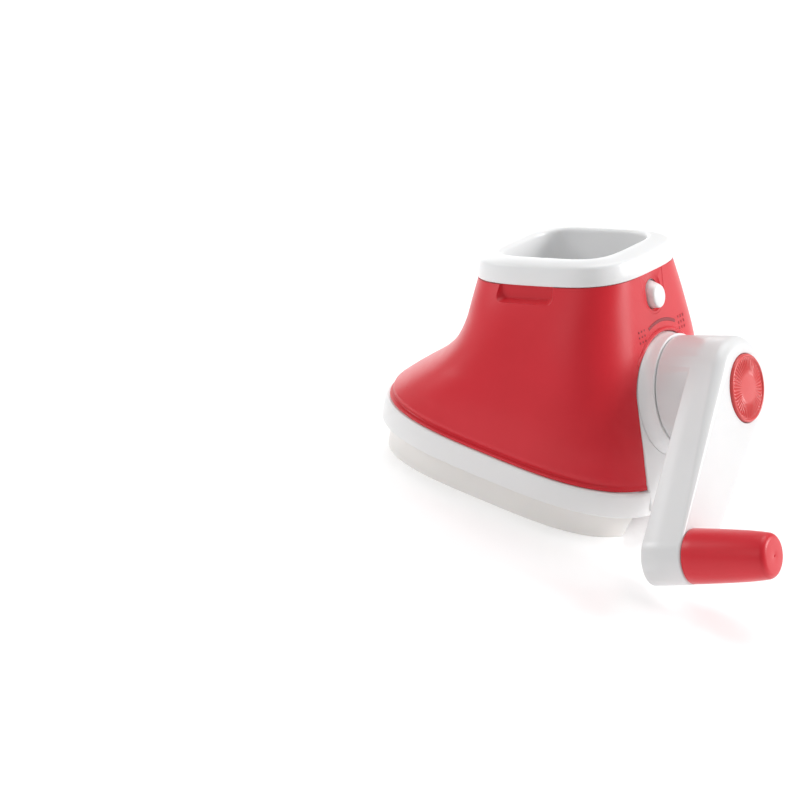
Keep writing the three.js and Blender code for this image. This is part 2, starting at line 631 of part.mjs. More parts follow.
const spring = coilSpring(SPRING).translate(buttonMiddle, 0, 0);
const crankParts = new THREE.Group();
crankParts.rotation.z = rad(ARM.angle);
const knobMesh = mesh("knob_grip", knob(), "red");
knobMesh.position.set(ARM.reach, 0, BOSS.front + 0.4);
crankParts.add(
  crankArm(), armBackCover(), mesh("hub_cap", hubCap(), "coral"), knobMesh, knobSpindle(),
  placed(screw("spindle_screw", 4, 2, 1.3, 16), ARM.reach, 0, 31.3),
  placed(screw("hub_screw", 4.5, 2.4, 1.6, 16), 0, 0, 41.3, true),
);
grater.add(group(
  axisFrame,
  mesh("bearing_collar", bearingCollar(), "white"),
  mesh("front_bearing_bush", tube(BUSH.bore, BUSH.r, BUSH.back, BUSH.front - 2), "grey"),
  mesh("rear_bearing_bush", tube(PIVOT.bore, PIVOT.bushR, PIVOT.to - 1, PIVOT.from - 1.5), "grey"),
  driveShaft(), drumHub(), gratingDrum(), drumRearRing(),
  releaseButton(), buttonGuide(), buttonCatch(), mesh("button_spring", spring, "steel"),
  crankParts,
));

// Origin: the middle of the object's box, on the plane that the skirt stands on.
const extent = new THREE.Box3().setFromObject(grater, true);
const middle = extent.getCenter(new THREE.Vector3());
grater.position.set(-middle.x, -middle.y, -extent.min.z);

const part = new THREE.Group();
part.add(grater);
export default part;
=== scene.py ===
import bpy
import json
import math
from mathutils import Matrix, Vector


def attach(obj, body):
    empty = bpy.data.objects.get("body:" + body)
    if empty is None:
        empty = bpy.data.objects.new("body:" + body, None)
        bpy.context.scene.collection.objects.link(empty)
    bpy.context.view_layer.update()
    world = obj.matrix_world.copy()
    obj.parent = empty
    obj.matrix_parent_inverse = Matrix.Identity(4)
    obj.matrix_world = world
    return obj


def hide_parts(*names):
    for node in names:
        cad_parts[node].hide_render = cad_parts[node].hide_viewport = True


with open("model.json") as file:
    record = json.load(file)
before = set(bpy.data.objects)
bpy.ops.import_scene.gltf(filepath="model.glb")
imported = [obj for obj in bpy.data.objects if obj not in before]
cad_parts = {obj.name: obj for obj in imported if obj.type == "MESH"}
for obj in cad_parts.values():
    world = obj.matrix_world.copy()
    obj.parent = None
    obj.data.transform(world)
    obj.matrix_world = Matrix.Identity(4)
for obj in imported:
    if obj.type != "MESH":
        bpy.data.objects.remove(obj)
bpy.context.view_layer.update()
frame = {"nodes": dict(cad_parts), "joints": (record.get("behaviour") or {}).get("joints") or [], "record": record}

# ---------------------------------------------------------------- dimensions
# Millimetres, in the housing's own frame; place() turns them into metres in the row frame.
MM = 0.001
WALL = 2.4
GAP = 0.3
MOULD_POWER = 3.3

# The crank's axis pierces the housing's flat heel at (HEEL_X, 0, HEEL_Z).
AXIS_TILT, HEEL_X, HEEL_Z = 22.3, 70.9, 75.5
HOPPER_LEAN, HOPPER_X, HOPPER_Z = 16.4, -7.5, 141.0
CRANK_ANGLE = -52

# Base
SKIRT = {"x": 1.3, "half_x": 86.6, "half_y": 74.0, "power": 3.46, "top": 15.0}
RIM = {"x": 1.65, "half_x": 95.35, "half_y": 78.0, "power": 3.15, "low": 15.3, "high": 30.0}
RIM_WALL, RIM_LEDGE, LEDGE_TOP = 4.0, 12.0, 19.0
SCREWS = [(-60, 54), (-60, -54), (62, 58), (62, -58)]
BRIDGE_SCREWS = [(-40, -59), (-40, 59)]
SCREW_HEAD_ROOM, SCREW_BORE, BRIDGE_SCREW_BORE, SCREW_PILOT = 4.6, 2.0, 1.6, 1.5
POST_R, POST_TOP, WEB_LOW, WEB_HALF = 4.0, 46.0, 32.0, 1.2
COLLAR_BORE, PLATE_GAP = 32.0, 0.4
ARCH_X, ARCH_Y, ARCH_FOOT, ARCH_FLARE = 34.4, 37.3, 62.0, 0.058

# Hopper
RIM_DEPTH, MOUTH_HALF = 13.9, 40.0
CHUTE_LOW = -96

# Drum
DRUM_FRONT, DRUM_BACK, DRUM_R = -14.3, -108.0, 29.0
DRUM_TAPER = math.tan(math.radians(5))
SHEET = 0.8

# Crank
REACH = 117.0
HUB_BACK, HUB_R, END_R = 8.5, 30.4, 16.0
ARM_FRONT, ARM_DIP, BOSS_FRONT = 50.0, 45.4, 51.6
EDGE_R = 8.0

# Release button
BUTTON_X, BUTTON_RISE, BUTTON_R = -56.6, 2.6, 7.0

crank_joint = next(joint for joint in frame["joints"] if joint["name"] == "crank_turn")
SHIFT = Vector(crank_joint["pos_m"]) - Vector((HEEL_X, 0, HEEL_Z)) * MM


def moved(x, y, z):
    return Matrix.Translation((x, y, z))


def rotated(degrees, axis):
    return Matrix.Rotation(math.radians(degrees), 4, axis)


AXIS = moved(HEEL_X, 0, HEEL_Z) @ rotated(90 - AXIS_TILT, "Y")
AXIS_BACK = AXIS.inverted()
HOP = moved(HOPPER_X, 0, HOPPER_Z) @ rotated(-HOPPER_LEAN, "Y")
CRANK = AXIS @ rotated(CRANK_ANGLE, "Z")
BOSS = CRANK @ moved(REACH, 0, 0)
ROW = Matrix.Translation(SHIFT) @ Matrix.Scale(MM, 4)


# ---------------------------------------------------------------- forms
# A form is (points, faces) in millimetres.
def at(form, matrix):
    return [matrix @ p for p in form[0]], form[1]


def loft(rings):
    n = len(rings[0])
    points = [p for ring in rings for p in ring]
    faces = []
    for r in range(len(rings) - 1):
        for i in range(n):
            j = (i + 1) % n
            faces.append((r * n + i, r * n + j, (r + 1) * n + j, (r + 1) * n + i))
    faces.append(tuple(reversed(range(n))))
    last = (len(rings) - 1) * n
    faces.append(tuple(range(last, last + n)))
    return points, faces


def gathered(forms):
    """Separate closed forms as one."""
    points, faces = [], []
    for form in forms:
        start = len(points)
        points.extend(form[0])
        faces.extend(tuple(start + v for v in face) for face in form[1])
    return points, faces


def oval(half_x, half_y, power, z=0.0, centre_x=0.0, count=192):
    """Rounded rectangle, its points spread by the direction of a plain ellipse's points."""
    ring = []
    for i in range(count):
        turn = 2 * math.pi * (i + 0.5) / count
        x, y = math.cos(turn) * half_x, math.sin(turn) * half_y
        length = math.hypot(x, y)
        x, y = x / length, y / length
        reach = (abs(x / half_x) ** power + abs(y / half_y) ** power) ** (-1 / power)
        ring.append(Vector((centre_x + reach * x, reach * y, z)))
    return ring


def turned(profile, count=96, lift=None):
    """A solid turned about Z, its profile running from axis to axis or closed on itself.

    lift(row, turn) raises the points of a profile's row above it."""
    closed = profile[0] == profile[-1] and profile[0][0] > 0
    rows = profile[:-1] if closed else profile
    points, index = [], []
    for row, (r, h) in enumerate(rows):
        if r == 0:
            index.append([len(points)] * count)
            points.append(Vector((0, 0, h)))
            continue
        index.append(list(range(len(points), len(points) + count)))
        for i in range(count):
            turn = 2 * math.pi * i / count
            rise = lift(row, turn) if lift else 0.0
            points.append(Vector((r * math.cos(turn), r * math.sin(turn), h + rise)))
    faces = []
    pairs = list(zip(index, index[1:])) + ([(index[-1], index[0])] if closed else [])
    for low, high in pairs:
        for i in range(count):
            j = (i + 1) % count
            face = tuple(dict.fromkeys((low[i], low[j], high[j], high[i])))
            if len(face) > 2:
                faces.append(face)
    return points, faces


def rod(r, low, high, count=48):
    return turned([(0, low), (r, low), (r, high), (0, high)], count)


def prism(corners, heights):
    """A straight block over a flat outline."""
    return loft([[Vector((x, y, z)) for x, y in corners] for z in heights])


def slab(x0, x1, y0, y1, z0, z1):
    return prism(((x0, y0), (x1, y0), (x1, y1), (x0, y1)), (z0, z1))


def fillet(r_mid, z_mid, radius, start, end, steps=6):
    """Profile points of an arc about (r_mid, z_mid); angles in degrees."""
    points = []
    for i in range(steps + 1):
        turn = math.radians(start + (end - start) * i / steps)
        points.append((r_mid + radius * math.cos(turn), z_mid + radius * math.sin(turn)))
    return points


def smooth_rows(rows, steps):
    """Catmull-Rom through rows of numbers."""
    out = []
    for i in range(len(rows) - 1):
        before, start, end = rows[max(i - 1, 0)], rows[i], rows[i + 1]
        after = rows[min(i + 2, len(rows) - 1)]
        for k in range(steps):
            t = k / steps
            out.append([
                0.5 * (2 * b + (c - a) * t + (2 * a - 5 * b + 4 * c - d) * t ** 2
                       + (3 * b - a - 3 * c + d) * t ** 3)
                for a, b, c, d in zip(before, start, end, after)
            ])
    out.append(list(rows[-1]))
    return out


def clamp(v):
    return min(max(v, 0.0), 1.0)


def ease(v):
    v = clamp(v)
    return v * v * (3 - 2 * v)


# ---------------------------------------------------------------- solids
def place(name, form):
    mesh = bpy.data.meshes.new(name)
    mesh.from_pydata([ROW @ p for p in form[0]], [], form[1])
    mesh.validate()
    obj = bpy.data.objects.new(name, mesh)
    bpy.context.scene.collection.objects.link(obj)
    shade(obj)
    return obj


def shade(obj, sharp=32):
    obj.data.shade_smooth()
    obj.data.set_sharp_from_angle(angle=math.radians(sharp))


def combine(obj, operation, tool):
    """A boolean of obj with another object, which it uses up."""
    modifier = obj.modifiers.new("cut", "BOOLEAN")
    modifier.operation = operation
    modifier.solver = "MANIFOLD"
    modifier.object = tool
    graph = bpy.context.evaluated_depsgraph_get()
    graph.update()
    made = bpy.data.meshes.new_from_object(obj.evaluated_get(graph))
    obj.modifiers.clear()
    spare = [obj.data, tool.data]
    obj.data = made
    bpy.data.objects.remove(tool)
    for mesh in spare:
        bpy.data.meshes.remove(mesh)


def minus(obj, *forms):
    for form in forms:
        combine(obj, "DIFFERENCE", place("tool", form))


def plus(obj, *forms):
    for form in forms:
        combine(obj, "UNION", place("tool", form))


def common(obj, *forms):
    for form in forms:
        combine(obj, "INTERSECT", place("tool", form))


def dress(obj, material):
    obj.data.materials.clear()
    obj.data.materials.append(material)


def finish_piece(obj, material, body, replaced=(), sharp=32):
    """Dresses, shades and hands over a piece that stands for CAD nodes."""
    dress(obj, material)
    shade(obj, sharp)
    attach(obj, body)
    if replaced:
        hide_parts(*replaced)


# ---------------------------------------------------------------- materials
def shader(name, build):
    material = bpy.data.materials.new(name)
    material.use_nodes = True
    nodes, links = material.node_tree.nodes, material.node_tree.links
    nodes.clear()
    out = nodes.new("ShaderNodeOutputMaterial")
    principled = nodes.new("ShaderNodeBsdfPrincipled")
    links.new(principled.outputs["BSDF"], out.inputs["Surface"])
    build(nodes, links, principled)
    return material


def noise(nodes, links, scale, detail, squeeze=None):
    """Noise over the object's own coordinates. squeeze makes it finer along an axis."""
    where = nodes.new("ShaderNodeTexCoord").outputs["Object"]
    if squeeze:
        mapping = nodes.new("ShaderNodeMapping")
        mapping.inputs["Scale"].default_value = squeeze
        links.new(where, mapping.inputs["Vector"])
        where = mapping.outputs["Vector"]
    texture = nodes.new("ShaderNodeTexNoise")
    texture.inputs["Scale"].default_value = scale
    texture.inputs["Detail"].default_value = detail
    links.new(where, texture.inputs["Vector"])
    return texture.outputs["Fac"]


def two_colours(nodes, links, source, low, high, start=0.3, end=0.7):
    made = nodes.new("ShaderNodeValToRGB")
    for element, position, colour in zip(made.color_ramp.elements, (start, end), (low, high)):
        element.position = position
        element.color = (*colour, 1)
    links.new(source, made.inputs["Fac"])
    return made.outputs["Color"]


def spread(nodes, links, source, low, high):
    made = nodes.new("ShaderNodeMapRange")
    made.inputs["To Min"].default_value = low
    made.inputs["To Max"].default_value = high
    links.new(source, made.inputs["Value"])
    return made.outputs["Result"]


def moulded(name, low, high, rough, grain, grain_depth, sheen=0.0, subsurface=0.0, edge=0.45):
    """Moulded plastic: slight colour drift, fine grain in the surface, soft arrises."""

    def build(nodes, links, principled):
        drift = noise(nodes, links, 22.0, 3.0)
        links.new(two_colours(nodes, links, drift, low, high), principled.inputs["Base Color"])
        uneven = noise(nodes, links, 160.0, 4.0)
        roughness = spread(nodes, links, uneven, rough - 0.04, rough + 0.05)
        links.new(roughness, principled.inputs["Roughness"])
        bump = nodes.new("ShaderNodeBump")
        bump.inputs["Strength"].default_value = 1.0
        bump.inputs["Distance"].default_value = grain_depth * MM
        links.new(noise(nodes, links, grain, 3.0), bump.inputs["Height"])
        arris = nodes.new("ShaderNodeBevel")
        arris.samples = 6
        arris.inputs["Radius"].default_value = edge * MM
        links.new(arris.outputs["Normal"], bump.inputs["Normal"])
        links.new(bump.outputs["Normal"], principled.inputs["Normal"])
        principled.inputs["IOR"].default_value = 1.46
        if sheen:
            principled.inputs["Sheen Weight"].default_value = sheen
            principled.inputs["Sheen Roughness"].default_value = 0.4
        if subsurface:
            principled.inputs["Subsurface Weight"].default_value = subsurface
            principled.inputs["Subsurface Radius"].default_value = (1.0, 0.85, 0.7)
            principled.inputs["Subsurface Scale"].default_value = 2.0 * MM

    return shader(name, build)


def steel(name, tint, rough, squeeze):
    """Brushed steel. squeeze makes its grain finer along an axis."""

    def build(nodes, links, principled):
        brushed = noise(nodes, links, 60.0, 5.0, squeeze)
        dark = tuple(c * 0.86 for c in tint)
        links.new(two_colours(nodes, links, brushed, dark, tint), principled.inputs["Base Color"])
        roughness = spread(nodes, links, brushed, rough - 0.06, rough + 0.08)
        links.new(roughness, principled.inputs["Roughness"])
        bump = nodes.new("ShaderNodeBump")
        bump.inputs["Distance"].default_value = 0.02 * MM
        links.new(brushed, bump.inputs["Height"])
        links.new(bump.outputs["Normal"], principled.inputs["Normal"])
        principled.inputs["Metallic"].default_value = 1.0

    return shader(name, build)


RED = moulded(
    "red_moulding", (0.62, 0.009, 0.020), (0.67, 0.012, 0.026), 0.37, 1500.0, 0.03, sheen=0.2)
CORAL = moulded(
    "coral_moulding", (0.64, 0.063, 0.063), (0.68, 0.075, 0.073), 0.21, 1300.0, 0.003, edge=0.06)
WHITE = moulded(
    "white_moulding", (0.81, 0.813, 0.816), (0.84, 0.842, 0.845), 0.3, 900.0, 0.003, subsurface=0.1)
ARM_WHITE = moulded(
    "arm_moulding", (0.745, 0.747, 0.75), (0.775, 0.777, 0.78), 0.3, 900.0, 0.003, subsurface=0.08)
RIM_WHITE = moulded(
    "rim_moulding", (0.83, 0.828, 0.828), (0.86, 0.857, 0.855), 0.34, 900.0, 0.004, subsurface=0.08)
SKIRT_WHITE = moulded(
    "skirt_moulding", (0.84, 0.815, 0.79), (0.87, 0.845, 0.82), 0.4, 700.0, 0.006, subsurface=0.25)
GREY = moulded("bearing_moulding", (0.33, 0.35, 0.37), (0.38, 0.40, 0.42), 0.45, 900.0, 0.005)
MARK = moulded("printed_marks", (0.27, 0.012, 0.02), (0.31, 0.016, 0.026), 0.4, 900.0, 0.001)
MARK_PALE = moulded("pale_marks", (0.38, 0.010, 0.02), (0.42, 0.013, 0.025), 0.4, 900.0, 0.001)
SHEET_STEEL = steel("sheet_steel", (0.72, 0.72, 0.74), 0.24, (1.0, 1.0, 9.0))
SCREW_STEEL = steel("screw_steel", (0.62, 0.62, 0.64), 0.3, (4.0, 4.0, 4.0))

SLOT_MATERIALS = {
    "red_plastic": RED,
    "coral_plastic": CORAL,
    "white_plastic": WHITE,
    "skirt_plastic": SKIRT_WHITE,
    "bearing_plastic": GREY,
    "steel": SHEET_STEEL,
}


def cad_finish(name, slot):
    """A carried-over node's material: screws and the spring are a duller steel than sheet."""
    if slot == "steel" and ("screw" in name or "spring" in name):
        return SCREW_STEEL
    return SLOT_MATERIALS[slot]


for subpart in frame["record"]["subparts"]:
    node = frame["nodes"][subpart["node"]]
    dress(node, cad_finish(subpart["node"], subpart["material_slot"]))


# ---------------------------------------------------------------- base
def base_skirt():
    def ring(inset, z):
        return oval(SKIRT["half_x"] - inset, SKIRT["half_y"] - inset, SKIRT["power"], z, SKIRT["x"])

    def arch_ring(z, near=50, far=100):
        """The opening in the skirt's crank end, narrower towards its top."""
        half = 47 - 6 * (max(z, 0) / SKIRT["top"]) ** 1.5
        return [Vector((x, y, z)) for x, y in ((near, -half), (far, -half), (far, half), (near, half))]

    top, wall, lip = SKIRT["top"], 2.2, 5
    edges = ((1.0, 0), (0.5, 0.25), (0.15, 0.8), (0, 1.8), (0, top - 0.4), (0.4, top))
    skirt = place("skirt", loft([ring(inset, z) for inset, z in edges]))
    inside = loft([ring(wall, -1), ring(wall, top - 2.5)])
    mouth = loft([ring(lip, -1), ring(lip, top + 1)])
    arch = loft([arch_ring(z) for z in (-1, 0, 1.5, 3, 4.5, 6, 7.5, 9, 10.5, 12, 13)])
    minus(skirt, inside, mouth, arch)
    for x, y in SCREWS:
        minus(skirt, at(rod(SCREW_HEAD_ROOM, 5, 16, 24), moved(x, y, 0)))
    finish_piece(skirt, SKIRT_WHITE, "housing", ["base_skirt"])


def rim_ring(inset, z):
    return oval(RIM["half_x"] - inset, RIM["half_y"] - inset, RIM["power"], z, RIM["x"])


def plate_outline(grow, z, foot_x=ARCH_FOOT, count=64):
    """The heel plate's outline: an arch round the collar that widens to a foot in the rim."""
    half_y = ARCH_Y + grow
    arch = []
    for i in range(count + 1):
        turn = math.pi / 2 + math.pi * i / count
        arch.append(Vector(((ARCH_X + grow) * math.cos(turn), half_y * math.sin(turn), z)))
    foot = half_y + ARCH_FLARE * foot_x
    return arch + [Vector((foot_x, -foot, z)), Vector((foot_x, foot, z))]


def behind_heel(offset):
    return at(slab(-300, 300, -300, 300, -400, offset), AXIS)


def soft_heel(ring, softness):
    """The ring with what lies past the heel plane laid back on it, its arris rounded."""
    out = []
    for p in ring:
        q = AXIS_BACK @ p
        if q.z > -40 * softness:
            q.z = -softness * math.log1p(math.exp(min(-q.z / softness, 60.0)))
        out.append(AXIS @ q)
    return out


def base_frame():
    low, high = RIM["low"], RIM["high"]
    edges = ((1.2, low), (0.6, low + 0.2), (0.2, low + 0.6), (0, low + 1.3),
             (0, high - 1.4), (0.15, high - 0.8), (0.5, high - 0.3), (1.1, high))
    body = place("frame", loft([soft_heel(rim_ring(inset, z), 0.4) for inset, z in edges]))
    seat = place("seat", loft([rim_ring(RIM_WALL, LEDGE_TOP), rim_ring(RIM_WALL, high + 1)]))
    common(seat, behind_heel(-RIM_WALL))
    combine(body, "DIFFERENCE", seat)
    inner = RIM_WALL + RIM_LEDGE
    minus(body, loft([rim_ring(inner, low - 1.3), rim_ring(inner, LEDGE_TOP + 1)]))
    outlines = [plate_outline(0, -3), plate_outline(0, -0.5), plate_outline(-0.5, 0)]
    plate = place("plate", at(loft(outlines), AXIS))
    common(plate, slab(-200, 200, -200, 200, LEDGE_TOP, 200))
    combine(body, "UNION", plate)
    minus(body, at(rod(COLLAR_BORE, -20, 5, 96), AXIS))
    for x, y in SCREWS:
        minus(body, at(rod(SCREW_BORE, 10, 25, 16), moved(x, y, 0)))
    for x, y in BRIDGE_SCREWS:
        minus(body, at(rod(BRIDGE_SCREW_BORE, 10, 25, 16), moved(x, y, 0)))
    finish_piece(body, RIM_WHITE, "housing", ["base_frame"])


# ---------------------------------------------------------------- housing
# Each section: toe x, toe z, heel z, half width, squareness, and how far it runs past the heel.
LIP = [
    (-90.6, 30.3, 30.3, 76.6, 3.1, 3),
    (-91.1, 30.6, 30.6, 77.1, 3.1, 3),
    (-91.4, 31.3, 31.3, 77.4, 3.1, 3),
    (-91.3, 32.0, 32.0, 77.3, 3.1, 3),
    (-90.8, 32.5, 32.5, 76.8, 3.1, 3),
    (-89.9, 32.8, 32.8, 75.9, 3.1, 3),
    (-89.5, 33.3, 33.3, 75.6, 3.1, 3),
    (-89.6, 34.0, 34.0, 75.9, 3.1, 3),
    (-89.9, 35.0, 35.0, 76.4, 3.1, 3),
]
DOME = [
    (-89.6, 36.6, 37, 76.6, 3.1, 3),
    (-84.6, 42, 44, 76, 3.1, 3),
    (-79.6, 47, 53, 75.2, 3.15, 3),
    (-73.9, 52.5, 64, 74, 3.15, 2.8),
    (-67.6, 58.5, 75, 72.2, 3.2, 2.6),
    (-60.8, 66, 87, 69.7, 3.2, 2.4),
    (-54.2, 76, 101, 66.5, 3.25, 2),
    (-51.3, 88, 115, 62.4, 3.25, 1.4),
    (-51.3, 100, 128, 57.3, 3.3, 1),
    (-52, 113, 141.6, 50.7, 3.3, 1),
]
# The room inside the housing starts below its lower edge.
INSIDE = [(-91.2, z, z, 77.2, 3.1, 3) for z in (20, 30.3)] + DOME

# Finger recesses: along the hopper, their height under its rim, their depths from the middle,
# and the wall left at their ends inside.
GRIP_FROM, GRIP_TO, GRIP_HEIGHT = -21.5, 11.5, 8.2
GRIP_IN, GRIP_OUT, GRIP_WALL = 48.0, 62.0, 5.5


def heel_x(z):
    return HEEL_X - (z - HEEL_Z) * math.tan(math.radians(AXIS_TILT))


def shell_ring(section, inset=0.0, count=256):
    toe_x, toe_z, heel_z, half_y, power, overrun = section
    x0, x1 = toe_x + inset, heel_x(heel_z) + overrun - inset
    half_x, half_z = (x1 - x0) / 2, (heel_z - toe_z) / 2
    ring = oval(half_x, half_y - inset, power, 0, 0, count)
    return [Vector((x0 + half_x + p.x, p.y, toe_z + half_z + half_z * p.x / half_x)) for p in ring]


def grip_cutter(side, inner=GRIP_IN, outer=GRIP_OUT, corner=4.2):
    """A recess for fingertips: its back leans with the wall, its lower corners are round."""
    rings = []
    steps = ((inner, 0, 0.12), (inner + 0.5, 0.5, 0.12), (inner + 1.4, 1, 0.1), (outer, 6.6, 0))
    for depth, grow, lean in steps:
        x0, x1 = GRIP_FROM - grow, GRIP_TO + grow
        z0, z1 = -RIM_DEPTH - GRIP_HEIGHT - 0.45 * grow, -RIM_DEPTH + 1
        outline = [(x1, z1), (x0, z1)]
        outline += fillet(x0 + corner, z0 + corner, corner, 180, 270, 8)
        outline += fillet(x1 - corner, z0 + corner, corner, 270, 360, 8)
        ring = [Vector((x, side * (depth + lean * (z1 - z)), z)) for x, z in outline]
        rings.append(ring if side < 0 else list(reversed(ring)))
    return at(loft(rings), HOP)


def shell_cavity():
    cavity = place("cavity", loft([shell_ring(section, WALL, 96) for section in INSIDE]))
    common(cavity, behind_heel(-WALL))
    minus(cavity, at(slab(-200, 200, -200, 200, -RIM_DEPTH - GAP - WALL, 100), HOP))
    for side in (-1, 1):
        y0, y1 = sorted((side * (GRIP_IN - 2.5), side * 85.5))
        x0, x1 = GRIP_FROM - GRIP_WALL, GRIP_TO + GRIP_WALL
        minus(cavity, at(slab(x0, x1, y0, y1, -RIM_DEPTH - 13, 0), HOP))
    return cavity


def screw_posts(shell, outside):
    """Four posts with webs that tie them to the wall behind them."""
    for x, y in SCREWS:
        here = moved(x, y, 0)
        outwards = Matrix.Rotation(math.atan2(y, x), 4, "Z")
        web = place("web", at(slab(0, 22, -WEB_HALF, WEB_HALF, WEB_LOW, POST_TOP), here @ outwards))
        common(web, outside)
        combine(shell, "UNION", web)
        plus(shell, at(rod(POST_R, LEDGE_TOP + GAP, POST_TOP, 24), here))
        minus(shell, at(rod(SCREW_PILOT, 18, 33, 16), here))


def outer_shell():
    sections = LIP + smooth_rows(DOME, 7)
    outside = loft([soft_heel(shell_ring(section), 0.45) for section in sections])
    shell = place("shell", outside)
    combine(shell, "DIFFERENCE", shell_cavity())
    minus(shell, at(loft([oval(MOUTH_HALF, MOUTH_HALF, MOULD_POWER, z) for z in (-30, 5)]), HOP))
    for side in (-1, 1):
        minus(shell, grip_cutter(side))
    minus(shell, at(loft([plate_outline(PLATE_GAP, z, 90) for z in (-20, 10)]), AXIS))
    minus(shell, at(channel_form(), AXIS))
    button_hole = loft([stadium(BUTTON_X, BUTTON_RISE, BUTTON_R + 0.5, z) for z in (-20, 10)])
    minus(shell, at(button_hole, AXIS), at(button_dish(), AXIS))
    plus(shell, at(collar_lip(), AXIS))
    screw_posts(shell, outside)
    finish_piece(shell, RED, "housing", ["outer_shell"])


def collar_lip(start=52.0, fade=20.0, count=72):
    """The raised bead over the collar: a round-topped strip on an arch, sunk away at both ends."""
    profile = ((0.5, -1.2), (0.5, 0.6), (0.9, 1.2), (1.5, 1.5),
               (2.2, 1.35), (2.7, 0.9), (3.0, 0.1), (3.1, -1.2))
    rings = []
    for i in range(count + 1):
        angle = start * (2 * i / count - 1)
        height = 0.05 + 0.95 * ease((start - abs(angle)) / fade)
        turn = math.radians(180 + angle)
        ring = []
        for grow, z in profile:
            x, y = (ARCH_X + grow) * math.cos(turn), (ARCH_Y + grow) * math.sin(turn)
            ring.append(Vector((x, y, z * height if z > 0 else z)))
        rings.append(ring)
    return loft(rings)


def channel_form(depth=0.4, foot=-58, top=-90):
    """A shallow flat channel in the heel, from the hopper's rim down round the button."""
    rings = []
    for grow, z in ((0.0, -depth), (0.5, -depth + 0.1), (0.8, 0.05), (1.5, 8)):
        half = 11.2 + grow
        ring = [Vector((top, -half * 1.25, z))]
        ring += [Vector((x, y, z)) for x, y in fillet(foot, 0, half, -90, 90, 24)]
        ring.append(Vector((top, half * 1.25, z)))
        rings.append(ring)
    return loft(rings)


def arc_strip(radius, width, start, end, z, thick, count=48):
    """A thin curved strip on the heel: angles in degrees from the top, towards +Y."""
    corners = ((radius, z), (radius + width, z), (radius + width, z + thick), (radius, z + thick))
    rings = []
    for i in range(count + 1):
        turn = math.radians(start + (end - start) * i / count)
        rings.append([Vector((-r * math.cos(turn), r * math.sin(turn), h)) for r, h in corners])
    return loft(rings)


def heel_marks(lift=0.02, thick=0.06):
    """Generic printed marks above the collar: an arc, dots on one side and dashes on the other."""
    dark = [arc_strip(40.6, 1.9, -18, 27, lift, thick)]
    pale = []
    for row in (-1, 0, 1):
        for column in (-1, 0, 1):
            dot = moved(-37.4 + 3.1 * row, -21.2 + 3.3 * column, lift)
            dark.append(at(rod(0.65, 0, thick, 16), dot))
            dash = moved(-35.0 + 3.3 * row, 26.2 + 3.1 * column, lift)
            pale.append(at(slab(-0.8, 0.8, -0.5, 0.5, 0, thick), dash))
    for name, forms, material in (("marks_dark", dark, MARK), ("marks_pale", pale, MARK_PALE)):
        piece = place(name, at(gathered(forms), AXIS))
        finish_piece(piece, material, "housing")


# ---------------------------------------------------------------- hopper
# Height, and half width along and across, up the rim's outside and in over its land.
HOPPER_RIM = [
    (-13.9, 50.2, 50.0), (-13.7, 50.55, 50.35), (-13.2, 50.7, 50.5), (-10, 50.35, 50.15),
    (-7, 49.85, 49.65), (-5, 49.45, 49.25), (-3.8, 49.2, 49.0), (-2.95, 48.8, 48.6),
    (-2.4, 48.1, 47.9), (-1.75, 46.6, 46.4), (-1.0, 44.5, 44.3), (-0.45, 42.3, 42.1),
    (-0.1, 40.3, 40.3), (0, 39.2, 39.2),
]
CHUTE = [(CHUTE_LOW, 31, 23), (-17.9, 35.8, 35.3), (-2, 36.2, 36.2)]
CHUTE_WALL, CHUTE_POWER = 2.2, 4.2
CHUTE_INSIDE = [
    (CHUTE_LOW - 1, 31, 23), (-17.9, 35.8, 35.3), (-3, 36.0, 36.0), (-1.5, 36.2, 36.2),
    (-0.7, 36.7, 36.7), (-0.2, 37.5, 37.5), (0.02, 38.4, 38.4), (1, 39.0, 39.0),
]


def rows_form(rows, power, grow=0.0):
    return at(loft([oval(a + grow, b + grow, power, z) for z, a, b in rows]), HOP)


def hopper():
    body = place("hopper_body", rows_form(HOPPER_RIM, MOULD_POWER))
    plus(body, rows_form(CHUTE, CHUTE_POWER, CHUTE_WALL))
    minus(body, rows_form(CHUTE_INSIDE, CHUTE_POWER))
    groove = place("groove", rows_form([(z, 47.2, 47.2) for z in (-14.9, -7.9)], MOULD_POWER))
    minus(groove, rows_form([(z, MOUTH_HALF, MOUTH_HALF) for z in (-16, -6)], MOULD_POWER))
    combine(body, "DIFFERENCE", groove)
    narrow = drum_radius(DRUM_BACK) + 1.6
    drum_room = turned([
        (0, DRUM_BACK - 30), (narrow, DRUM_BACK - 30), (narrow, DRUM_BACK),
        (DRUM_R + 2, DRUM_FRONT), (DRUM_R + 4, DRUM_FRONT + 12), (0, DRUM_FRONT + 12),
    ], 64)
    ahead = slab(-14, 200, -100, 100, -200, 100)
    minus(body, at(drum_room, AXIS), at(ahead, AXIS))
    finish_piece(body, WHITE, "hopper", ["hopper"])


# ---------------------------------------------------------------- collar and drum
def collar_flare(steps=12, count=128):
    """The foot of the collar: a hollow curve that runs out over the plate, shorter on its upper side."""
    rings = []
    for k in range(steps + 1):
        rise = k / steps
        z = 0.03 + 7.3 * rise ** 1.3
        ring = []
        for i in range(count):
            turn = 2 * math.pi * i / count
            foot = 37.6 - 3.5 * max(-math.cos(turn), 0.0) ** 2
            r = 33.0 + (foot - 33.0) * (1 - rise) ** 2.4
            ring.append(Vector((r * math.cos(turn), r * math.sin(turn), z)))
        rings.append(ring)
    return loft(rings)


